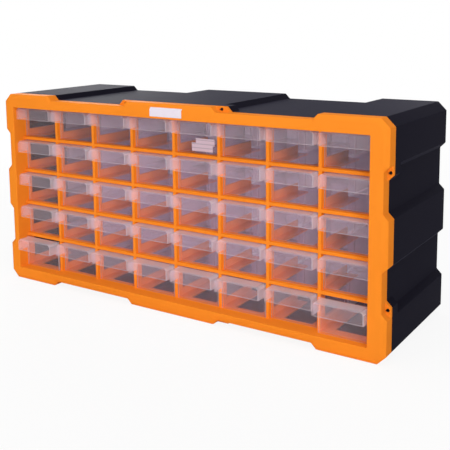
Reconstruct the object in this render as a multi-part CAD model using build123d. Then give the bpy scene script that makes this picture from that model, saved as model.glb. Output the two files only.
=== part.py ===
from build123d import *
import math
import os

# Driving dimensions in millimetres.
# X runs across the front, Y from the front to the back and Z up. The cabinet stands on Z = 0.

# The grid of drawers
COLUMNS = 8
ROWS = 5
COLUMN_PITCH = 58.5
ROW_PITCH = 41.0
BAR_WIDTH = 3.6            # a bar of the grid, seen from the front
BAR_DEPTH = 11.0

# The whole cabinet and the border of its front frame
DEPTH = 166.0              # front of the border to the back of the case
SIDE_BORDER = 17.8         # drawer opening to the outside of a side tab
END_BORDER = 15.8          # the same at the top and the bottom
BORDER_REACH = 14.6        # the border stands this far in front of the bars
BEVEL_WIDTH = 6.5
BEVEL_DROP = 4.4
SKIRT_LAP = 3.4            # the skirt ends this far behind the front of the bars
FRAME_WALL = 2.4

# Tabs and notches of the outline, with slopes of 45 degrees between them
NOTCH_DEPTH = 5.6
CORNER_CHAMFER = 9.0
END_TAB = 138.0            # middle tab of the top and of the bottom
END_CORNER_TAB = 72.4      # corner tabs there, from the outside corner
SIDE_TAB = 44.0            # middle tab of each side
SIDE_CORNER_TAB = 53.5

# Runners behind the bars, which carry the drawers
RAIL_LENGTH = 65.0         # from the front of the bars
RAIL_HEIGHT = 8.0          # guide wall above the drawer's floor
RAIL_WEB = 2.0
RAIL_FLANGE = 12.0         # flange beyond the guide wall
RAIL_THICKNESS = 2.0

# Ears at the ends of tabs, behind the bevelled border, where its own tabs end earlier
END_EAR = 13.0             # length on the top and bottom tabs
SIDE_EAR = 9.8
EAR_THICKNESS = 4.3

# Screws through the ears that hold the frame to the case
SCREW_FROM_EDGE = 2.9
END_SCREW_FROM_END = 5.3
SIDE_SCREW_FROM_END = 2.4
SCREW_RADIUS = 1.4
SCREW_HEAD_RADIUS = 2.5
SCREW_HEAD_HEIGHT = 1.7
SCREW_BITE = 10.0          # length of the screw in the case
SCREW_CLEARANCE = 0.2
THREAD_CLEARANCE = 0.05
BOSS_HALF = 3.4            # half the side of a square screw boss
BOSS_LENGTH = 14.0

# The case
CASE_WALL = 2.5
LEDGE_DEPTH = 26.0         # ledges inside the back that carry the drawers' rear ends
LEDGE_THICKNESS = 2.0
LEDGE_LEAD = 1.2           # sloped front of a ledge
KEYHOLE_SPACING = 320.0
KEYHOLE_BELOW_TOP = 38.0
KEYHOLE_RADIUS = 5.0
KEYHOLE_SLOT = 4.6
KEYHOLE_RISE = 10.0

# A drawer
DRAWER_SETBACK = 4.5       # front wall behind the front of the bars
DRAWER_LENGTH = 138.0
DRAWER_WALL = 1.5
DRAWER_CORNER = 1.2        # chamfer of the rear corners
SIDE_CLEARANCE = 0.5
TOP_CLEARANCE = 0.8
FLOOR_CLEARANCE = 0.3
STOP_CLEARANCE = 0.5       # left between the stop lug and the bar at full travel
HOOD_REACH = 14.8          # finger hood in front of the drawer's front wall
HOOD_HEIGHT = 14.0
HOOD_CORNER = 3.0
RIB_WIDTH = 3.0            # rib on each side wall for a divider half way along
RIB_PROUD = 1.2
RIB_BELOW_RIM = 3.0
LUG_WIDTH = 16.0           # stop lug on the rear wall
LUG_HEIGHT = 1.9
LUG_DEPTH = 3.0
# How far each drawer of the bottom row stands open, from the left
BOTTOM_ROW_OPEN = [6.5, 0.5, 1.0, 4.0, 4.0, 4.5, 1.0, 11.0]

# Worked out from the driving dimensions
OPENING_WIDTH = COLUMNS * COLUMN_PITCH - BAR_WIDTH
OPENING_HEIGHT = ROWS * ROW_PITCH - BAR_WIDTH
CELL_WIDTH = COLUMN_PITCH - BAR_WIDTH
CELL_HEIGHT = ROW_PITCH - BAR_WIDTH
WIDTH = OPENING_WIDTH + 2 * SIDE_BORDER
HEIGHT = OPENING_HEIGHT + 2 * END_BORDER
MIDDLE = HEIGHT / 2
FRONT = -DEPTH / 2
BACK = DEPTH / 2
BAR_FRONT = FRONT + BORDER_REACH
BAR_BACK = BAR_FRONT + BAR_DEPTH
JOINT = BAR_FRONT + SKIRT_LAP
EAR_FRONT = JOINT - EAR_THICKNESS
CASE_INNER_BACK = BACK - CASE_WALL
CORNER_TAB_END_X = WIDTH / 2 - END_CORNER_TAB
CORNER_TAB_END_Z = MIDDLE - SIDE_CORNER_TAB
COLUMN_MIDDLES = [(c - (COLUMNS - 1) / 2) * COLUMN_PITCH for c in range(COLUMNS)]
COLUMN_LINES = [(c - COLUMNS / 2) * COLUMN_PITCH for c in range(COLUMNS + 1)]
ROW_FLOORS = [MIDDLE + (ROWS / 2 - r - 1) * ROW_PITCH + BAR_WIDTH / 2 for r in range(ROWS)]
DRAWER_WIDTH = CELL_WIDTH - 2 * SIDE_CLEARANCE
DRAWER_HEIGHT = CELL_HEIGHT - TOP_CLEARANCE - FLOOR_CLEARANCE
DRAWER_TRAVEL = DRAWER_SETBACK + DRAWER_LENGTH - LUG_DEPTH - BAR_DEPTH - STOP_CLEARANCE
# Screw places in the upper right quarter, as X and Z
TOP_SCREW = (END_TAB / 2 - END_SCREW_FROM_END, HEIGHT - SCREW_FROM_EDGE)
SIDE_SCREW = (WIDTH / 2 - SCREW_FROM_EDGE, MIDDLE + CORNER_TAB_END_Z + SIDE_SCREW_FROM_END)


def facing_front(y):
    """A drawing plane across the cabinet at y, seen from the front, with its middle at mid height."""
    return Plane(origin=(0, y, MIDDLE), x_dir=(1, 0, 0), z_dir=(0, -1, 0))


def block(x, y, z):
    """A box between two limits on each axis."""
    size = [high - low for low, high in (x, y, z)]
    middle = [(low + high) / 2 for low, high in (x, y, z)]
    return Pos(*middle) * Box(*size)


def rod(place, radius, y):
    """A round bar along Y at an X and Z place."""
    circle = facing_front(y[1]) * Pos(place[0], place[1] - MIDDLE) * Circle(radius)
    return extrude(circle, y[1] - y[0])


def outline(inset, y, ears=True):
    """The tabbed outline of the cabinet at y, drawn in by inset on every edge, with the screw ears or without."""
    side, top = WIDTH / 2 - inset, MIDDLE - inset
    end_tab = END_TAB / 2 - (0 if ears else END_EAR)
    side_tab_end = CORNER_TAB_END_Z + (0 if ears else SIDE_EAR)
    slip = inset * math.tan(math.radians(22.5))
    corner = CORNER_CHAMFER - inset * (2 - math.sqrt(2))
    quarter = [
        (side, SIDE_TAB / 2 - slip),
        (side - NOTCH_DEPTH, SIDE_TAB / 2 + NOTCH_DEPTH - slip),
        (side - NOTCH_DEPTH, side_tab_end - NOTCH_DEPTH + slip),
        (side, side_tab_end + slip),
        (side, top - corner),
        (side - corner, top),
        (CORNER_TAB_END_X + slip, top),
        (CORNER_TAB_END_X - NOTCH_DEPTH + slip, top - NOTCH_DEPTH),
        (end_tab + NOTCH_DEPTH - slip, top - NOTCH_DEPTH),
        (end_tab - slip, top),
    ]
    upper = quarter + [(-x, z) for x, z in reversed(quarter)]
    points = upper + [(x, -z) for x, z in reversed(upper)]
    return facing_front(y) * make_face(Polyline(points, close=True))


def prism(inset, y, ears=True):
    """The cabinet's outline, drawn in by inset, between two limits on Y."""
    return extrude(outline(inset, y[1], ears), y[1] - y[0])


def capped(inset, y):
    """A prism of the outline without ears, whose front is bevelled as the border is."""
    foot = y[0] + BEVEL_DROP
    bevel = loft([outline(inset, foot, False), outline(inset + BEVEL_WIDTH, y[0], False)], ruled=True)
    return prism(inset, (foot, y[1]), False) + bevel


def in_quarters(shape):
    """A shape of the upper right quarter and its three mirror images."""
    pair = [shape, mirror(shape, about=Plane.YZ)]
    return pair + [mirror(s, about=Plane.XY.offset(MIDDLE)) for s in pair]


def bosses(y):
    """The two square screw bosses of the upper right quarter, grown out of the case's wall."""
    top_x, top_z = TOP_SCREW
    side_x, side_z = SIDE_SCREW
    top = block((top_x - BOSS_HALF, top_x + BOSS_HALF), y, (top_z - BOSS_HALF, HEIGHT - CASE_WALL / 2))
    side = block((side_x - BOSS_HALF, WIDTH / 2 - CASE_WALL / 2), y, (side_z - BOSS_HALF, side_z + BOSS_HALF))
    return [top, side]


def rail(column, floor):
    """A runner behind one bar of the grid: a guide wall on a flange, one-sided at the ends."""
    line = COLUMN_LINES[column]
    left = RAIL_WEB / 2 + (RAIL_FLANGE if column > 0 else 0)
    right = RAIL_WEB / 2 + (RAIL_FLANGE if column < COLUMNS else 0)
    y = BAR_FRONT + BAR_DEPTH / 2, BAR_FRONT + RAIL_LENGTH
    under = floor - RAIL_THICKNESS
    web = block((line - RAIL_WEB / 2, line + RAIL_WEB / 2), y, (under, floor + RAIL_HEIGHT))
    flange = block((line - left, line + right), y, (under, floor))
    return web + flange


def front_frame():
    """The front moulding: hollow bevelled border, ears for the screws, grid of bars and runners."""
    outside = capped(0, (FRONT, JOINT)) + prism(0, (EAR_FRONT, JOINT))
    hollow = capped(FRAME_WALL, (FRONT + FRAME_WALL, JOINT))
    plane = facing_front(BAR_BACK)
    window = Rectangle(OPENING_WIDTH, OPENING_HEIGHT)
    rim = Rectangle(OPENING_WIDTH + 2 * FRAME_WALL, OPENING_HEIGHT + 2 * FRAME_WALL)
    cells = GridLocations(COLUMN_PITCH, ROW_PITCH, COLUMNS, ROWS) * Rectangle(CELL_WIDTH, CELL_HEIGHT)
    grid = extrude(plane * (rim - cells), BAR_DEPTH)
    collar = extrude(plane * (rim - window), BAR_BACK - FRONT)
    hole = SCREW_RADIUS + SCREW_CLEARANCE
    holes = [rod(place, hole, (FRONT, JOINT)) for place in (TOP_SCREW, SIDE_SCREW)]
    rails = [rail(c, floor) for c in range(COLUMNS + 1) for floor in ROW_FLOORS]

    frame = outside - hollow - extrude(plane * window, BAR_BACK - FRONT)
    frame = frame + collar + grid
    for shape in holes:
        frame = frame - in_quarters(shape)
    return frame + rails


def ledge(floor):
    """A ledge along the inside of the back, with a sloped front edge that lets a drawer ride up."""
    front = CASE_INNER_BACK - LEDGE_DEPTH
    under = floor - LEDGE_THICKNESS
    section = [
        (front, under),
        (CASE_INNER_BACK + CASE_WALL / 2, under),
        (CASE_INNER_BACK + CASE_WALL / 2, floor),
        (front + LEDGE_LEAD, floor),
        (front, floor - LEDGE_LEAD),
    ]
    profile = Plane.YZ.offset(-WIDTH / 2) * make_face(Polyline(section, close=True))
    return extrude(profile, WIDTH)


def keyhole(x):
    """A hanging hole through the back, with its slot upwards."""
    place = facing_front(BACK) * Pos(x, MIDDLE - KEYHOLE_BELOW_TOP)
    slot = Pos(0, KEYHOLE_RISE / 2) * Rectangle(KEYHOLE_SLOT, KEYHOLE_RISE)
    end = Pos(0, KEYHOLE_RISE) * Circle(KEYHOLE_SLOT / 2)
    return extrude(place * (Circle(KEYHOLE_RADIUS) + slot + end), CASE_WALL)


def case():
    """The case behind the frame: a tabbed tube with a closed back, ledges, screw bosses and keyholes."""
    shell = prism(0, (JOINT, BACK)) - prism(CASE_WALL, (JOINT, CASE_INNER_BACK))
    space = prism(CASE_WALL / 2, (JOINT, BACK - CASE_WALL / 2))
    shell = shell + [ledge(floor) & space for floor in ROW_FLOORS]
    for boss in bosses((JOINT, JOINT + BOSS_LENGTH)):
        shell = shell + in_quarters(boss)
    for place in (TOP_SCREW, SIDE_SCREW):
        pilot = rod(place, SCREW_RADIUS + THREAD_CLEARANCE, (JOINT, JOINT + BOSS_LENGTH - CASE_WALL / 2))
        shell = shell - in_quarters(pilot)
    return shell - [keyhole(x) for x in (-KEYHOLE_SPACING / 2, KEYHOLE_SPACING / 2)]


def frame_screws():
    """The screws through the frame's ears, heads on the fronts of the ears."""
    screws = []
    for place in (TOP_SCREW, SIDE_SCREW):
        head = rod(place, SCREW_HEAD_RADIUS, (EAR_FRONT - SCREW_HEAD_HEIGHT, EAR_FRONT))
        shank = rod(place, SCREW_RADIUS, (EAR_FRONT, JOINT + SCREW_BITE))
        screws += in_quarters(head + shank)
    return Compound(children=screws)


def drawer():
    """A clear drawer: front wall at Y = 0, underside at Z = 0, middle at X = 0."""
    half = DRAWER_WIDTH / 2
    inner = half - DRAWER_WALL
    rim = DRAWER_HEIGHT
    tray = block((-half, half), (0, DRAWER_LENGTH), (0, rim))
    tray = chamfer(tray.edges().filter_by(Axis.Z).group_by(Axis.Y)[-1], DRAWER_CORNER)
    tray = tray - block((-inner, inner), (DRAWER_WALL, DRAWER_LENGTH - DRAWER_WALL), (DRAWER_WALL, rim))

    under = rim - HOOD_HEIGHT
    hood = block((-half, half), (-HOOD_REACH, DRAWER_WALL), (under, rim))
    hood = chamfer(hood.edges().filter_by(Axis.Y).group_by(Axis.Z)[-1], HOOD_CORNER)
    hood = hood - block((-inner, inner), (DRAWER_WALL - HOOD_REACH, 0), (under, rim - DRAWER_WALL))

    middle = DRAWER_LENGTH / 2
    rib_y = middle - RIB_WIDTH / 2, middle + RIB_WIDTH / 2
    rib_z = DRAWER_WALL / 2, rim - RIB_BELOW_RIM
    ribs = [block(x, rib_y, rib_z) for x in ((-half, RIB_PROUD - inner), (inner - RIB_PROUD, half))]
    lug_y = DRAWER_LENGTH - LUG_DEPTH, DRAWER_LENGTH
    lug = block((-LUG_WIDTH / 2, LUG_WIDTH / 2), lug_y, (rim - LUG_DEPTH, rim + LUG_HEIGHT))
    return tray + hood + ribs + lug


os.makedirs("parts", exist_ok=True)
export_step(front_frame(), "parts/front_frame.step")
export_step(case(), "parts/case.step")
export_step(frame_screws(), "parts/frame_screws.step")
one_drawer = drawer()
for r, floor in enumerate(ROW_FLOORS):
    for c, x in enumerate(COLUMN_MIDDLES):
        pulled = BOTTOM_ROW_OPEN[c] if r == ROWS - 1 else 0
        place = Pos(x, BAR_FRONT + DRAWER_SETBACK - pulled, floor + FLOOR_CLEARANCE)
        export_step(place * one_drawer, f"parts/drawer_{r + 1}_{c + 1}.step")
print(f"cabinet {WIDTH:.1f} x {DEPTH:.1f} x {HEIGHT:.1f}, drawer travel {DRAWER_TRAVEL:.1f}")
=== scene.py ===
import math

import bmesh
import bpy
from mathutils import Matrix, Vector


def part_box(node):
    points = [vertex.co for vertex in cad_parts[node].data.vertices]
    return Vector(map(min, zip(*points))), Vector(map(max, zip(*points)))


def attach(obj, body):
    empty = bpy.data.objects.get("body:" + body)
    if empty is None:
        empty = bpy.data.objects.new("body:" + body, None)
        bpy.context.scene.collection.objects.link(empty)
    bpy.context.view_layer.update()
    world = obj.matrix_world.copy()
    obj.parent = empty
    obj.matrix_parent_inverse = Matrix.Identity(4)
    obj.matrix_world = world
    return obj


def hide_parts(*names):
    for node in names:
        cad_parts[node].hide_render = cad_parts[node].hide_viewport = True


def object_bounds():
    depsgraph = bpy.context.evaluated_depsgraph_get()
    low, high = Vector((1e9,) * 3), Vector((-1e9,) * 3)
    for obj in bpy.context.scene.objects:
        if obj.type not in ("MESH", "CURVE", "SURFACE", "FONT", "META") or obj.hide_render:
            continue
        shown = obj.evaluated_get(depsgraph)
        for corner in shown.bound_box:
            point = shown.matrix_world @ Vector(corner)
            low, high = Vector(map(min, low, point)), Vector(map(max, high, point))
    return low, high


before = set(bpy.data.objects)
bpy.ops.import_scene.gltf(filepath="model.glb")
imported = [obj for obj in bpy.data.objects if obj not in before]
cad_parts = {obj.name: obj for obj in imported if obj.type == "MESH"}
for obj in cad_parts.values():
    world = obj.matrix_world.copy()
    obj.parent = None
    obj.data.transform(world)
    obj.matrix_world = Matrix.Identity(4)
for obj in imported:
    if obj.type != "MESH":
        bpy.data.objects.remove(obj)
cad_box = [list(corner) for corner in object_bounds()]

# Sizes in metres, in the cabinet's own frame: X across the front, Y from the front to the back, Z up.
MM = 0.001
JOIN = 0.001 * MM              # corners nearer than this are one corner
FLAT = math.radians(0.5)       # faces that meet at less than this are one face
CREASE = math.radians(35)      # edges sharper than this are rounded
STRAIGHT = 0.98                # a face square to an axis has a larger part of its direction on it
DECIMALS = 6                   # of a metre, which tell rows and columns apart

# Rounded edges of the mouldings
FRAME_EDGE = 0.5 * MM
CASE_EDGE = 0.7 * MM
DRAWER_EDGE = 0.35 * MM
EDGE_STEPS = 2

# Screws in the ends of the tabs
HEAD_RADIUS = 2.5 * MM
HEAD_HEIGHT = 1.7 * MM
HEAD_DOME = 0.7 * MM
HEAD_DOME_POWER = 2.4
HEAD_SIDES, HEAD_RINGS = 36, 5
SHANK_RADIUS = 1.4 * MM
SHANK_SIDES = 20
CROSS_LENGTH = 3.0 * MM
CROSS_WIDTH = 0.75 * MM
CROSS_DEPTH = 0.9 * MM
END_SCREW_X = 63.7 * MM        # from the middle, on the top and bottom tabs
SIDE_SCREW_RISE = 65.4 * MM    # from mid height, on the side tabs

# The case, whose tabs are as long as the frame's only round the screws, and shorter behind them
BEND = math.radians(45)        # turn of the outline at a tab's end
CASE_WALL = 2.5 * MM
NOTCH_DEPTH = 5.6 * MM
CORNER_CHAMFER = 9.0 * MM
SIDE_TAB = 44.0 * MM
SIDE_TAB_END = 63.0 * MM       # from mid height to the corner tab's end
SIDE_EAR = 9.8 * MM            # how much shorter that tab is behind its screw
END_TAB_END = 69.0 * MM        # from the middle to the end of the top or bottom tab
END_EAR = 13.0 * MM            # how much shorter that tab is behind its screw
CORNER_TAB_END = 177.6 * MM    # from the middle to the corner tab's end
BOSS_LENGTH = 14.0 * MM        # solid end of a tab that holds a screw
LEDGE_DEPTH = 26.0 * MM        # ledges in the back, under the drawers' rear ends
LEDGE_THICKNESS = 2.0 * MM
LEDGE_LEAD = 1.2 * MM          # slope at the front edge
LEDGE_GAP = 0.3 * MM           # between a ledge and a drawer's floor
KEYHOLE_X = 160.0 * MM         # hanging holes in the back, from the middle
KEYHOLE_BELOW_TOP = 38.0 * MM
KEYHOLE_RADIUS = 5.0 * MM
KEYHOLE_SLOT = 4.6 * MM
KEYHOLE_RISE = 10.0 * MM       # from the hole's middle to the slot's end
KEYHOLE_STEPS = 24             # on each round part

# The bare plate on the top border, which follows the border's bevel
PLATE_LEFT, PLATE_RIGHT = -20.0 * MM, 22.0 * MM
PLATE_FOOT = 13.7 * MM         # below the top of the cabinet
PLATE_TOP = 4.0 * MM
PLATE_THICKNESS = 0.35 * MM
PLATE_EDGE = 0.1 * MM
BEVEL_WIDTH, BEVEL_DROP = 6.5 * MM, 4.4 * MM

# The blank cards on one drawer's front
CARD_DRAWER = "drawer_1_5"
CARD_THICKNESS = 0.25 * MM
CARD_EDGE = 0.08 * MM
CARD_LIFT = 1.6 * CARD_THICKNESS

# The drawers' own measures
HOOD_REACH = 14.8 * MM         # hood in front of the front wall
DRAWER_WALL = 1.5 * MM
DRAWER_FLOOR = 1.2 * DRAWER_WALL   # no face of the floor has its middle higher
FRONT_STRIP = 2.0 * MM         # milky front end of the side walls
RIB_REACH = 2.2 * MM           # half the width of the ribs, with their rounded edges

# How milky the clear plastic is on each part of a drawer, from 0 to 1, and the attribute that says so
MILK = "milk"
EDGE_MILK = 0.40
STRIP_MILK = 0.40
HOOD_MILK = 0.08
HOOD_TOP_MILK = 0.55
CHEEK_MILK = 0.28
RIB_MILK = 0.35
REAR_MILK = 0.85
REAR_SIDE_MILK = 0.60
REAR_FLOOR_MILK = 0.25
WALL_MILK = 0.055

# Camera of the photograph: level turn, tilt and roll in radians
CAMERA_PLACE = Vector((502.85, -737.99, 323.42)) * MM
CAMERA_TURN = 0.5771
CAMERA_TILT = -0.1376
CAMERA_ROLL = -0.0090
CAMERA_LENS = 62.57
CAMERA_SHIFT = -0.22
CLEAR_LAYERS = 64              # see-through faces that one ray may pass

# The studio
WHITE = (1.0, 1.0, 1.0, 1.0)
FLOOR_HALF = 12.0
FLOOR_DROP = 0.2 * MM          # below the cabinet
FLOOR_COLOUR = (0.9, 0.9, 0.9, 1.0)
FLOOR_GLOW = 0.9               # share of plain white in the floor under the cabinet
FLOOR_FADE = 0.03              # what is added to it at a metre, and with the square of the distance
SURROUND_LIGHT = 0.08          # light that the white surround gives to surfaces
LAMP_AIM = (0.0, 0.0, 0.12)


class Signal:
    """A number that varies over a surface. Arithmetic on it adds Math nodes to its finish."""

    def __init__(self, finish, socket):
        self.finish = finish
        self.socket = socket

    def maths(self, operation, first, second):
        """One Math node on two signals or numbers."""
        return self.finish.signal("ShaderNodeMath", 0, {"operation": operation}, {0: first, 1: second})

    def __add__(self, other):
        return self.maths("ADD", self, other)

    def __radd__(self, other):
        return self.maths("ADD", other, self)

    def __mul__(self, other):
        return self.maths("MULTIPLY", self, other)

    def __rmul__(self, other):
        return self.maths("MULTIPLY", other, self)

    def __pow__(self, other):
        return self.maths("POWER", self, other)

    def above(self, level):
        return self.maths("GREATER_THAN", self, level)

    def largest(self, other):
        return self.maths("MAXIMUM", self, other)

    def smallest(self, other):
        return self.maths("MINIMUM", self, other)


class Finish:
    """The nodes of one material or of the world's light."""

    def __init__(self, owner):
        owner.use_nodes = True
        self.owner = owner
        self.tree = owner.node_tree
        self.tree.nodes.clear()

    def node(self, kind, settings, sockets):
        """Adds a node, sets its settings first, and then the values or links of its sockets."""
        made = self.tree.nodes.new(kind)
        for name, value in settings.items():
            setattr(made, name, value)
        for key, value in sockets.items():
            if isinstance(value, Signal):
                self.tree.links.new(value.socket, made.inputs[key])
            else:
                made.inputs[key].default_value = value
        return made

    def signal(self, kind, output, settings, sockets):
        """One output of a new node."""
        return Signal(self, self.node(kind, settings, sockets).outputs[output])

    def place(self):
        """The point on the surface, in the cabinet's frame."""
        return self.signal("ShaderNodeTexCoord", "Object", {}, {})

    def noise(self, per_metre, detail=3.0):
        """Soft noise around one half, with a number of blobs to the metre."""
        sockets = {"Vector": self.place(), "Scale": per_metre, "Detail": detail, "Roughness": 0.55}
        return self.signal("ShaderNodeTexNoise", 0, {"noise_dimensions": "3D"}, sockets)

    def between(self, share, first, second):
        """A colour that goes from the first to the second with a share from 0 to 1."""
        sockets = {0: share, 6: (*first, 1.0), 7: (*second, 1.0)}
        return self.signal("ShaderNodeMix", 2, {"data_type": "RGBA"}, sockets)

    def bump(self, height, depth, strength):
        """The surface's direction over small bumps of a depth in metres."""
        sockets = {"Height": height, "Distance": depth, "Strength": strength}
        return self.signal("ShaderNodeBump", 0, {}, sockets)

    def plastic(self, **inputs):
        """A plastic surface as the material's whole output."""
        sockets = {name.replace("_", " "): value for name, value in inputs.items()}
        self.output(self.signal("ShaderNodeBsdfPrincipled", 0, {}, sockets))
        return self.owner

    def output(self, surface, kind="ShaderNodeOutputMaterial"):
        """Ends the nodes in a surface, or in the world's light."""
        self.node(kind, {}, {"Surface": surface})


def new_finish(name):
    """The empty finish of a new material."""
    return Finish(bpy.data.materials.new(name))


def orange_plastic():
    """Satin moulded plastic of the front frame: fine grain, with faint flow marks."""
    f = new_finish("orange_plastic")
    flow = f.noise(per_metre=14.0)
    grain = f.noise(per_metre=1700.0, detail=2.0)
    colour = f.between(flow, first=(0.92, 0.258, 0.020), second=(0.97, 0.278, 0.025))
    roughness = 0.40 + 0.10 * flow + 0.06 * grain
    normal = f.bump(grain, depth=0.03 * MM, strength=0.25)
    return f.plastic(Base_Color=colour, Roughness=roughness, Specular_IOR_Level=0.003, Normal=normal)


def black_plastic():
    """Dull moulded plastic of the case, with a coarser grain."""
    f = new_finish("black_plastic")
    flow = f.noise(per_metre=9.0)
    grain = f.noise(per_metre=1100.0, detail=4.0)
    colour = f.between(flow, first=(0.0065, 0.0058, 0.0112), second=(0.0083, 0.0075, 0.0140))
    roughness = 0.58 + 0.10 * flow + 0.10 * grain
    normal = f.bump(grain, depth=0.05 * MM, strength=0.3)
    return f.plastic(
        Base_Color=colour, Roughness=roughness, Specular_IOR_Level=0.015, Normal=normal,
        Sheen_Weight=0.024, Sheen_Roughness=0.35, Sheen_Tint=(0.61, 0.58, 1.0, 1.0),
    )


def clear_plastic():
    """Clear drawers with a lilac cast, as milky as each face says, with a mirror gloss at a slant."""
    f = new_finish("clear_plastic")
    milk = f.signal("ShaderNodeAttribute", "Fac", {"attribute_name": MILK}, {})
    flow = f.noise(per_metre=45.0)
    cast = (0.988, 0.964, 0.990, 1.0)
    milk_colour = (0.94, 0.91, 0.96, 1.0)
    gloss_colour = (0.90, 0.80, 0.92, 1.0)
    glow_share = 0.4
    clear = f.signal("ShaderNodeBsdfTransparent", 0, {}, {"Color": cast})
    surface = {"Base Color": milk_colour, "Roughness": 0.3 + 0.2 * flow}
    skin = f.signal("ShaderNodeBsdfPrincipled", 0, {}, surface)
    glow = f.signal("ShaderNodeBsdfTranslucent", 0, {}, {"Color": milk_colour})
    milky = f.signal("ShaderNodeMixShader", 0, {}, {0: glow_share, 1: skin, 2: glow})
    body = f.signal("ShaderNodeMixShader", 0, {}, {0: milk, 1: clear, 2: milky})
    slant = f.signal("ShaderNodeLayerWeight", "Facing", {}, {"Blend": 0.5})
    mirror = 0.006 + 0.9 * slant ** 5.0
    gloss = f.signal("ShaderNodeBsdfAnisotropic", 0, {}, {"Color": gloss_colour, "Roughness": 0.12})
    f.output(f.signal("ShaderNodeMixShader", 0, {}, {0: mirror, 1: body, 2: gloss}))
    return f.owner


def screw_steel():
    """Blackened steel, rubbed a little here and there."""
    f = new_finish("screw_steel")
    wear = f.noise(per_metre=900.0)
    colour = f.between(wear, first=(0.004, 0.004, 0.005), second=(0.012, 0.012, 0.014))
    return f.plastic(Base_Color=colour, Roughness=0.4 + 0.2 * wear, Specular_IOR_Level=0.15)


def white_plate():
    """Smooth white foil of the bare plate."""
    f = new_finish("white_plate")
    tone = f.noise(per_metre=160.0)
    colour = f.between(tone, first=(0.75, 0.67, 0.76), second=(0.81, 0.74, 0.82))
    return f.plastic(Base_Color=colour, Roughness=0.3 + 0.12 * tone, Specular_IOR_Level=0.3)


def card_paper():
    """Plain card with faint ruled lines."""
    f = new_finish("card_paper")
    fibre = f.noise(per_metre=2600.0, detail=4.0)
    line_level, line_share, fibre_share = 0.86, 0.55, 0.12
    wave = {"wave_type": "BANDS", "bands_direction": "Z"}
    lines = f.signal("ShaderNodeTexWave", 1, wave, {"Vector": f.place(), "Scale": 75.0, "Distortion": 0.0})
    ruled = lines.above(line_level) * line_share + fibre * fibre_share
    colour = f.between(ruled, first=(0.66, 0.50, 0.57), second=(0.32, 0.24, 0.30))
    normal = f.bump(fibre, depth=0.02 * MM, strength=0.2)
    return f.plastic(Base_Color=colour, Roughness=0.7, Normal=normal)


ORANGE, BLACK, CLEAR = orange_plastic(), black_plastic(), clear_plastic()
STEEL, PLATE, CARD = screw_steel(), white_plate(), card_paper()


def add_piece(name, mesh, material, body, slot, *nodes):
    """A finished piece that rides on a body and may stand for CAD nodes."""
    piece = bpy.data.objects.new(name, mesh)
    bpy.context.scene.collection.objects.link(piece)
    mesh.materials.clear()
    mesh.materials.append(material)
    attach(piece, body)
    if nodes:
        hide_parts(*nodes)
    return piece


def flat_mesh(name, make):
    """A mesh from a function that fills it."""
    work = bmesh.new()
    make(work)
    mesh = bpy.data.meshes.new(name)
    work.to_mesh(mesh)
    work.free()
    return mesh


def settled(mesh, modify):
    """The mesh with modifiers applied: modify adds them to a passing object."""
    carrier = bpy.data.objects.new(mesh.name, mesh)
    bpy.context.scene.collection.objects.link(carrier)
    modify(carrier)
    view = bpy.context.evaluated_depsgraph_get()
    result = bpy.data.meshes.new_from_object(carrier.evaluated_get(view), depsgraph=view)
    result.name = mesh.name
    bpy.data.objects.remove(carrier)
    return result


def rounded(width):
    """Adds a small rounding to every sharp edge, with flat faces that stay flat."""
    def modify(carrier):
        for face in carrier.data.polygons:
            face.use_smooth = True
        bevel = carrier.modifiers.new("Rounding", "BEVEL")
        bevel.width = width
        bevel.segments = EDGE_STEPS
        bevel.limit_method = "ANGLE"
        bevel.angle_limit = CREASE
        bevel.use_clamp_overlap = False
        bevel.miter_outer = "MITER_ARC"
        shade = carrier.modifiers.new("Shading", "WEIGHTED_NORMAL")
        shade.keep_sharp = True
    return modify


def whole_faces(name, mesh, across, along=()):
    """A copy of a mesh with whole flat faces, cut at places on X and Y so that none has a hole."""
    def make(work):
        work.from_mesh(mesh)
        bmesh.ops.remove_doubles(work, verts=work.verts, dist=JOIN)
        planes = [((x, 0, 0), (1, 0, 0)) for x in across] + [((0, y, 0), (0, 1, 0)) for y in along]
        for point, normal in planes:
            everything = work.verts[:] + work.edges[:] + work.faces[:]
            cut = bmesh.ops.bisect_plane(work, geom=everything, dist=JOIN, plane_co=point, plane_no=normal)
            for part in cut["geom_cut"]:
                if isinstance(part, bmesh.types.BMEdge):
                    part.seam = True
        kept = {"verts": work.verts, "edges": work.edges, "delimit": {"SEAM"}}
        bmesh.ops.dissolve_limit(work, angle_limit=FLAT, use_dissolve_boundaries=False, **kept)
    return flat_mesh(name, make)


def node_copy(node, across, along=()):
    """A copy of a CAD node's mesh with whole flat faces."""
    return whole_faces(node + "_moulding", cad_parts[node].data, across, along)


def stacked(name, stacks):
    """Closed bodies, each drawn over a stack of rings with the same number of corners."""
    def make(work):
        for stack in stacks:
            rings = [[work.verts.new(corner) for corner in ring] for ring in stack]
            strips = [
                (near[k - 1], near[k], far[k], far[k - 1])
                for near, far in zip(rings, rings[1:]) for k in range(len(near))
            ]
            for face in [rings[0], rings[-1]] + strips:
                work.faces.new(face)
        bmesh.ops.remove_doubles(work, verts=work.verts, dist=JOIN)
        bmesh.ops.recalc_face_normals(work, faces=work.faces)
    return flat_mesh(name, make)


def combined(mesh, operation, other):
    """The mesh with another one added to it or cut out of it."""
    tool = bpy.data.objects.new(other.name, other)
    bpy.context.scene.collection.objects.link(tool)

    def modify(carrier):
        boolean = carrier.modifiers.new("Combined", "BOOLEAN")
        boolean.operation = operation
        boolean.solver = "EXACT"
        boolean.object = tool
    result = settled(mesh, modify)
    bpy.data.objects.remove(tool)
    return result


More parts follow.
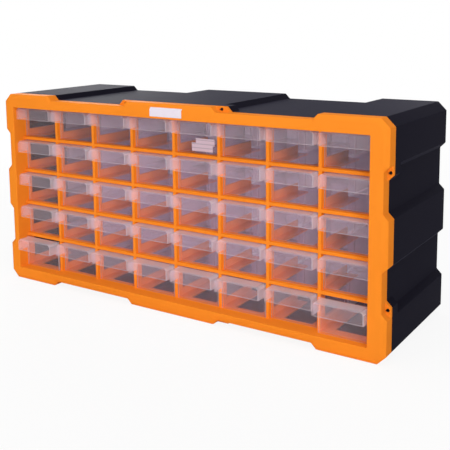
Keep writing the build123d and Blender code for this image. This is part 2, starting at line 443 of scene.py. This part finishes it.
def case_outline(inset, long_tabs):
    """The case's outline on X and Z, drawn in by inset, with long tabs for the screws or short ones."""
    low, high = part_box("case")
    middle = (low.z + high.z) / 2
    side, top = high.x - inset, high.z - middle - inset
    side_foot, top_foot = side - NOTCH_DEPTH, top - NOTCH_DEPTH
    slip = inset * math.tan(BEND / 2)
    corner = CORNER_CHAMFER - inset * (2 - math.sqrt(2))
    side_end, top_end = SIDE_TAB_END + slip, END_TAB_END - slip
    quarter = [
        (side, SIDE_TAB / 2 - slip),
        (side_foot, SIDE_TAB / 2 + NOTCH_DEPTH - slip),
        (side_foot, side_end - NOTCH_DEPTH),
        (side, side_end) if long_tabs else (side_foot, side_end + SIDE_EAR - NOTCH_DEPTH),
        (side, side_end + SIDE_EAR),
        (side, top - corner),
        (side - corner, top),
        (CORNER_TAB_END + slip, top),
        (CORNER_TAB_END - NOTCH_DEPTH + slip, top_foot),
        (top_end + NOTCH_DEPTH, top_foot),
        (top_end, top) if long_tabs else (top_end - END_EAR + NOTCH_DEPTH, top_foot),
        (top_end - END_EAR, top),
    ]
    upper = quarter + [(-x, z) for x, z in reversed(quarter)]
    lower = [(x, -z) for x, z in reversed(upper)]
    return [(x, middle + z) for x, z in upper + lower]


def case_shell():
    """The case as a tabbed tube with a closed back."""
    low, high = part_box("case")
    boss_end = low.y + BOSS_LENGTH
    inside = [(CASE_WALL, False, high.y - CASE_WALL), (CASE_WALL, False, low.y)]
    outside = [(0.0, True, low.y), (0.0, True, boss_end), (0.0, False, boss_end), (0.0, False, high.y)]
    stack = [
        [(x, y, z) for x, z in case_outline(inset, long_tabs)]
        for inset, long_tabs, y in inside + outside
    ]
    return stacked("case_moulding", [stack])


def ledges(floors):
    """Ledges along the inside of the back that carry the drawers' rear ends, with sloped front edges."""
    low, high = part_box("case")
    back = high.y - CASE_WALL / 2
    front = high.y - CASE_WALL - LEDGE_DEPTH
    stacks = []
    for floor in floors:
        from_middle = abs(floor - (low.z + high.z) / 2)
        notched = SIDE_TAB / 2 + NOTCH_DEPTH / 2 < from_middle < SIDE_TAB_END + SIDE_EAR
        reach = high.x - CASE_WALL / 2 - (NOTCH_DEPTH if notched else 0.0)
        under = floor - LEDGE_THICKNESS
        slope = [(front + LEDGE_LEAD, floor), (front, floor - LEDGE_LEAD)]
        section = [(front, under), (back, under), (back, floor)] + slope
        stacks.append([[(x, y, z) for y, z in section] for x in (-reach, reach)])
    return stacked("ledges", stacks)


def keyholes():
    """Hanging holes through the back, each a round hole with a slot upwards."""
    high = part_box("case")[1]
    half = KEYHOLE_SLOT / 2
    start = math.asin(half / KEYHOLE_RADIUS)
    shares = [k / KEYHOLE_STEPS for k in range(KEYHOLE_STEPS + 1)]
    turns = [start + share * 2 * (math.pi - start) for share in shares]
    outline = [(KEYHOLE_RADIUS * math.sin(a), KEYHOLE_RADIUS * math.cos(a)) for a in turns]
    turns = [(share - 0.5) * math.pi for share in shares]
    outline += [(half * math.sin(a), KEYHOLE_RISE + half * math.cos(a)) for a in turns]
    level = high.z - KEYHOLE_BELOW_TOP
    ends = high.y - 2 * CASE_WALL, high.y + CASE_WALL
    stacks = [
        [[(middle + x, y, level + z) for x, z in outline] for y in ends]
        for middle in (-KEYHOLE_X, KEYHOLE_X)
    ]
    return stacked("keyholes", stacks)


def milk_of(face, low, high):
    """How milky a drawer's face is: most at the rear and on the hood's top, little on the plain walls."""
    wall_front = low.y + HOOD_REACH
    on_hood = face.center.y < wall_front - DRAWER_WALL / 2
    on_front = face.center.y < wall_front + FRONT_STRIP
    if max(abs(part) for part in face.normal) < STRAIGHT:
        return EDGE_MILK if on_front else WALL_MILK
    if on_hood and face.normal.z > STRAIGHT:
        return HOOD_TOP_MILK
    if on_hood:
        return CHEEK_MILK if abs(face.normal.x) > STRAIGHT else HOOD_MILK
    if on_front and abs(face.normal.x) > STRAIGHT:
        return STRIP_MILK
    behind_middle = face.center.y - (wall_front + high.y) / 2
    above_floor = face.center.z > low.z + DRAWER_FLOOR
    if above_floor and abs(behind_middle) < RIB_REACH:
        return RIB_MILK
    if behind_middle < 0.0:
        return WALL_MILK
    if not above_floor:
        return REAR_FLOOR_MILK
    return REAR_MILK if abs(face.normal.y) > STRAIGHT else REAR_SIDE_MILK


def paint_milk(mesh, node):
    """Writes each face's milkiness for the clear plastic."""
    low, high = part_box(node)
    values = [milk_of(face, low, high) for face in mesh.polygons]
    mesh.attributes.new(MILK, "FLOAT", "FACE").data.foreach_set("value", values)


def make_mouldings():
    """The frame, the case and the drawers with rounded edges."""
    drawers = sorted(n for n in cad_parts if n.startswith("drawer_"))
    middles = {n: (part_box(n)[0].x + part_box(n)[1].x) / 2 for n in drawers}
    columns = sorted({round(x, DECIMALS) for x in middles.values()})
    side_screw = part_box("frame_screws")[1].x - HEAD_RADIUS
    screws = [-side_screw, -END_SCREW_X, END_SCREW_X, side_screw]
    frame_mesh = settled(node_copy("front_frame", columns + screws), rounded(FRAME_EDGE))
    add_piece("front_frame_moulding", frame_mesh, ORANGE, "cabinet", "frame_orange", "front_frame")
    floors = sorted({round(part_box(n)[0].z - LEDGE_GAP, DECIMALS) for n in drawers})
    case_mesh = combined(combined(case_shell(), "DIFFERENCE", keyholes()), "UNION", ledges(floors))
    case_mesh = whole_faces("case_moulding", case_mesh, [-KEYHOLE_X, KEYHOLE_X])
    case_mesh = settled(case_mesh, rounded(CASE_EDGE))
    add_piece("case_moulding", case_mesh, BLACK, "cabinet", "case_black", "case")
    for node in drawers:
        low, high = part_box(node)
        wall_front = low.y + HOOD_REACH
        along = [wall_front, wall_front + FRONT_STRIP, (wall_front + high.y) / 2]
        mesh = settled(node_copy(node, [middles[node]], along), rounded(DRAWER_EDGE))
        paint_milk(mesh, node)
        piece = add_piece(node + "_moulding", mesh, CLEAR, node, "drawer_clear", node)
        piece.visible_shadow = False


class Tree:
    """A tree of geometry nodes with named sizes."""

    def __init__(self, name):
        self.group = bpy.data.node_groups.new(name, "GeometryNodeTree")
        self.group.interface.new_socket("Geometry", in_out="INPUT", socket_type="NodeSocketGeometry")
        self.group.interface.new_socket("Geometry", in_out="OUTPUT", socket_type="NodeSocketGeometry")
        self.start = self.group.nodes.new("NodeGroupInput")
        self.sizes = {}

    def size(self, name, value, kind="NodeSocketFloat"):
        """A named input with its value, and the socket that carries it."""
        socket = self.group.interface.new_socket(name, in_out="INPUT", socket_type=kind)
        self.sizes[socket.identifier] = value
        return self.start.outputs[name]

    def node(self, kind, settings, sockets, output=0):
        """Adds a node with its settings and sockets, and gives one of its outputs."""
        made = self.group.nodes.new(kind)
        for name, value in settings.items():
            setattr(made, name, value)
        for key, value in sockets.items():
            for one in value if isinstance(value, list) else [value]:
                if isinstance(one, bpy.types.NodeSocket):
                    self.group.links.new(one, made.inputs[key])
                else:
                    made.inputs[key].default_value = one
        return made.outputs[output]

    def finish(self, geometry, material):
        """Ends the tree in plain geometry of one material."""
        real = self.node("GeometryNodeRealizeInstances", {}, {"Geometry": geometry})
        painted = self.node("GeometryNodeSetMaterial", {}, {"Geometry": real, "Material": material})
        end = self.group.nodes.new("NodeGroupOutput")
        self.group.links.new(painted, end.inputs[0])

    def modify(self, carrier):
        """Puts the tree on an object, with its sizes."""
        modifier = carrier.modifiers.new(self.group.name, "NODES")
        modifier.node_group = self.group
        for identifier, value in self.sizes.items():
            modifier[identifier] = value


def screw_tree(shank_length):
    """Domed screws with a cross recess, one on each point, with heads towards the front."""
    t = Tree("Screws")
    radius = t.size("Head radius", HEAD_RADIUS)
    height = t.size("Head height", HEAD_HEIGHT)
    dome = t.size("Dome", HEAD_DOME)
    shank = t.size("Shank radius", SHANK_RADIUS)
    length = t.size("Shank length", shank_length)
    cross_long = t.size("Cross length", CROSS_LENGTH)
    cross_wide = t.size("Cross width", CROSS_WIDTH)
    cross_deep = t.size("Cross depth", CROSS_DEPTH)

    def maths(operation, first, second):
        return t.node("ShaderNodeMath", {"operation": operation}, {0: first, 1: second})

    def vector(x, y, z):
        return t.node("ShaderNodeCombineXYZ", {}, {"X": x, "Y": y, "Z": z})

    def moved(geometry, offset):
        return t.node("GeometryNodeTransform", {}, {"Geometry": geometry, "Translation": offset})

    rings = {"Vertices": HEAD_SIDES, "Side Segments": 2, "Fill Segments": HEAD_RINGS}
    rings.update({"Radius": radius, "Depth": height})
    blank = t.node("GeometryNodeMeshCylinder", {"fill_type": "TRIANGLE_FAN"}, rings)
    place = t.node("GeometryNodeInputPosition", {}, {})
    parts = t.group.nodes.new("ShaderNodeSeparateXYZ")
    t.group.links.new(place, parts.inputs[0])
    flat = vector(parts.outputs[0], parts.outputs[1], 0.0)
    across = t.node("ShaderNodeVectorMath", {"operation": "LENGTH"}, {0: flat}, "Value")
    share = maths("DIVIDE", across, radius)
    drop = maths("MULTIPLY", maths("POWER", share, HEAD_DOME_POWER), dome)
    top = maths("GREATER_THAN", parts.outputs[2], 0.0)
    fall = maths("MULTIPLY", maths("MULTIPLY", drop, top), -1.0)
    head = t.node("GeometryNodeSetPosition", {}, {"Geometry": blank, "Offset": vector(0.0, 0.0, fall)})
    deep = maths("MULTIPLY", cross_deep, 2.0)
    level = vector(0.0, 0.0, maths("MULTIPLY", height, 0.5))
    arms = [
        moved(t.node("GeometryNodeMeshCube", {}, {"Size": vector(x, y, deep)}), level)
        for x, y in ((cross_long, cross_wide), (cross_wide, cross_long))
    ]
    head = t.node("GeometryNodeMeshBoolean", {"operation": "DIFFERENCE"}, {"Mesh 1": head, "Mesh 2": arms})
    rod = {"Vertices": SHANK_SIDES, "Radius": shank, "Depth": length}
    stem = t.node("GeometryNodeMeshCylinder", {}, rod)
    back = maths("MULTIPLY", maths("ADD", height, length), -0.5)
    stem = moved(stem, vector(0.0, 0.0, back))
    screw = t.node("GeometryNodeJoinGeometry", {}, {"Geometry": [head, stem]})
    turn = {"Geometry": screw, "Rotation": (math.pi / 2, 0.0, 0.0)}
    screw = t.node("GeometryNodeTransform", {}, turn)
    spread = {"Points": t.start.outputs["Geometry"], "Instance": screw}
    t.finish(t.node("GeometryNodeInstanceOnPoints", {}, spread), STEEL)
    return t


def make_screws():
    """The screws in the ends of the tabs, in place of the plain ones."""
    low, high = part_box("frame_screws")
    middle = (low.z + high.z) / 2
    side = high.x - HEAD_RADIUS
    top, bottom = high.z - HEAD_RADIUS, low.z + HEAD_RADIUS
    seat = low.y + HEAD_HEIGHT / 2
    places = [(x, seat, z) for x in (-END_SCREW_X, END_SCREW_X) for z in (bottom, top)]
    places += [(x, seat, middle + z) for x in (-side, side) for z in (-SIDE_SCREW_RISE, SIDE_SCREW_RISE)]
    points = bpy.data.meshes.new("tab_screws")
    points.from_pydata(places, [], [])
    mesh = settled(points, screw_tree(high.y - low.y - HEAD_HEIGHT).modify)
    add_piece("tab_screws", mesh, STEEL, "cabinet", "screw_black", "frame_screws")


def thin_sheet(name, across, profile, thickness, edge):
    """A thin sheet: a profile of Y and Z places drawn across X, thickened towards the front."""
    def make(work):
        rows = [[work.verts.new((x, y, z)) for y, z in profile] for x in across]
        for left, right in zip(rows, rows[1:]):
            for k in range(len(profile) - 1):
                work.faces.new((left[k], right[k], right[k + 1], left[k + 1]))

    def modify(carrier):
        solid = carrier.modifiers.new("Thickness", "SOLIDIFY")
        solid.thickness = thickness
        solid.offset = 1.0
        rounded(edge)(carrier)
    return settled(flat_mesh(name, make), modify)


def make_plate():
    """The bare plate on the top border."""
    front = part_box("front_frame")[0].y
    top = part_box("front_frame")[1].z
    foot, bend, end = top - PLATE_FOOT, top - BEVEL_WIDTH, top - PLATE_TOP
    back = front + (end - bend) * BEVEL_DROP / BEVEL_WIDTH
    profile = [(front, foot), (front, bend), (back, end)]
    mesh = thin_sheet("bare_plate", (PLATE_LEFT, PLATE_RIGHT), profile, PLATE_THICKNESS, PLATE_EDGE)
    add_piece("bare_plate", mesh, PLATE, "cabinet", "drawer_clear")


def add_card(name, left, right, foot, top, lift):
    """A blank card on a drawer's front wall, placed from the drawer's middle and underside."""
    low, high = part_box(CARD_DRAWER)
    front = low.y + HOOD_REACH - lift
    middle = (low.x + high.x) / 2
    profile = [(front, low.z + foot), (front, low.z + top)]
    mesh = thin_sheet(name, (middle + left, middle + right), profile, CARD_THICKNESS, CARD_EDGE)
    add_piece(name, mesh, CARD, CARD_DRAWER, "drawer_clear")


def make_cards():
    """Two blank cards, one over the other."""
    add_card("blank_card", left=-7.5 * MM, right=19.5 * MM, foot=2.6 * MM, top=11.6 * MM, lift=CARD_LIFT)
    add_card("blank_card_behind", left=-2.5 * MM, right=21.5 * MM, foot=9.0 * MM, top=16.4 * MM, lift=0.0)


def seen_directly(f):
    """1 for rays that show the background itself: straight, mirrored or through clear plastic."""
    path = f.node("ShaderNodeLightPath", {}, {})
    straight, mirrored, through = (
        Signal(f, path.outputs[name]) for name in ("Is Camera Ray", "Is Glossy Ray", "Is Transmission Ray")
    )
    return straight.largest(mirrored).largest(through)


def make_stage():
    """A pale floor that keeps the shadow, and a white surround."""
    f = new_finish("studio_floor")
    matt = f.signal("ShaderNodeBsdfDiffuse", 0, {}, {"Color": FLOOR_COLOUR})
    white = f.signal("ShaderNodeEmission", 0, {}, {"Color": WHITE, "Strength": 1.0})
    distance = f.signal("ShaderNodeVectorMath", "Value", {"operation": "LENGTH"}, {0: f.place()})
    pale = (FLOOR_GLOW + FLOOR_FADE * distance ** 2.0).smallest(1.0)
    f.output(f.signal("ShaderNodeMixShader", 0, {}, {0: seen_directly(f) * pale, 1: matt, 2: white}))
    low = cad_box[0][2] - FLOOR_DROP
    corners = [(x * FLOOR_HALF, y * FLOOR_HALF, low) for x, y in ((-1, -1), (1, -1), (1, 1), (-1, 1))]
    mesh = bpy.data.meshes.new("studio_floor")
    mesh.from_pydata(corners, [], [(0, 1, 2, 3)])
    mesh.materials.append(f.owner)
    floor = bpy.data.objects.new("studio_floor", mesh)
    bpy.context.scene.collection.objects.link(floor)

    w = Finish(bpy.data.worlds.new("studio_surround"))
    strength = SURROUND_LIGHT + (1.0 - SURROUND_LIGHT) * seen_directly(w)
    light = w.signal("ShaderNodeBackground", 0, {}, {"Color": WHITE, "Strength": strength})
    w.output(light, "ShaderNodeOutputWorld")
    bpy.context.scene.world = w.owner


def add_lamp(name, place, size, power):
    """A soft square lamp that faces the cabinet."""
    lamp = bpy.data.lights.new(name, "AREA")
    lamp.shape = "SQUARE"
    lamp.size = size
    lamp.energy = power
    holder = bpy.data.objects.new(name, lamp)
    holder.location = place
    holder.rotation_euler = (Vector(LAMP_AIM) - Vector(place)).to_track_quat("-Z", "Y").to_euler()
    bpy.context.scene.collection.objects.link(holder)


def make_lamps():
    """Plain soft light from all round."""
    add_lamp("key_lamp", place=(1.6, -1.25, 0.9), size=0.9, power=18.0)
    add_lamp("front_lamp", place=(0.3, -2.0, 0.25), size=0.7, power=8.0)
    add_lamp("fill_lamp", place=(-0.9, -1.8, 0.45), size=0.9, power=6.0)
    add_lamp("top_lamp", place=(0.0, -0.4, 2.0), size=1.6, power=19.0)
    add_lamp("rim_lamp", place=(-1.5, 1.2, 0.7), size=0.9, power=18.0)
    add_lamp("back_lamp", place=(-0.1, 2.2, 0.3), size=0.6, power=16.0)


def make_camera():
    """The camera at the photograph's angle."""
    ahead = Vector((-math.sin(CAMERA_TURN), math.cos(CAMERA_TURN), 0.0))
    level = Vector((math.cos(CAMERA_TURN), math.sin(CAMERA_TURN), 0.0))
    upright = Vector((0.0, 0.0, 1.0))
    forward = math.cos(CAMERA_TILT) * ahead + math.sin(CAMERA_TILT) * upright
    lifted = math.cos(CAMERA_TILT) * upright - math.sin(CAMERA_TILT) * ahead
    right = math.cos(CAMERA_ROLL) * level + math.sin(CAMERA_ROLL) * lifted
    up = math.cos(CAMERA_ROLL) * lifted - math.sin(CAMERA_ROLL) * level
    camera = bpy.data.objects.new("photo_camera", bpy.data.cameras.new("photo_camera"))
    camera.data.lens = CAMERA_LENS
    camera.data.shift_y = CAMERA_SHIFT
    facing = Matrix((right, up, -forward)).transposed().to_4x4()
    camera.matrix_world = Matrix.Translation(CAMERA_PLACE) @ facing
    bpy.context.scene.collection.objects.link(camera)
    bpy.context.scene.camera = camera


make_mouldings()
make_screws()
make_plate()
make_cards()
make_stage()
make_lamps()
make_camera()
bpy.context.scene.view_settings.view_transform = "Standard"
bpy.context.scene.cycles.transparent_max_bounces = CLEAR_LAYERS
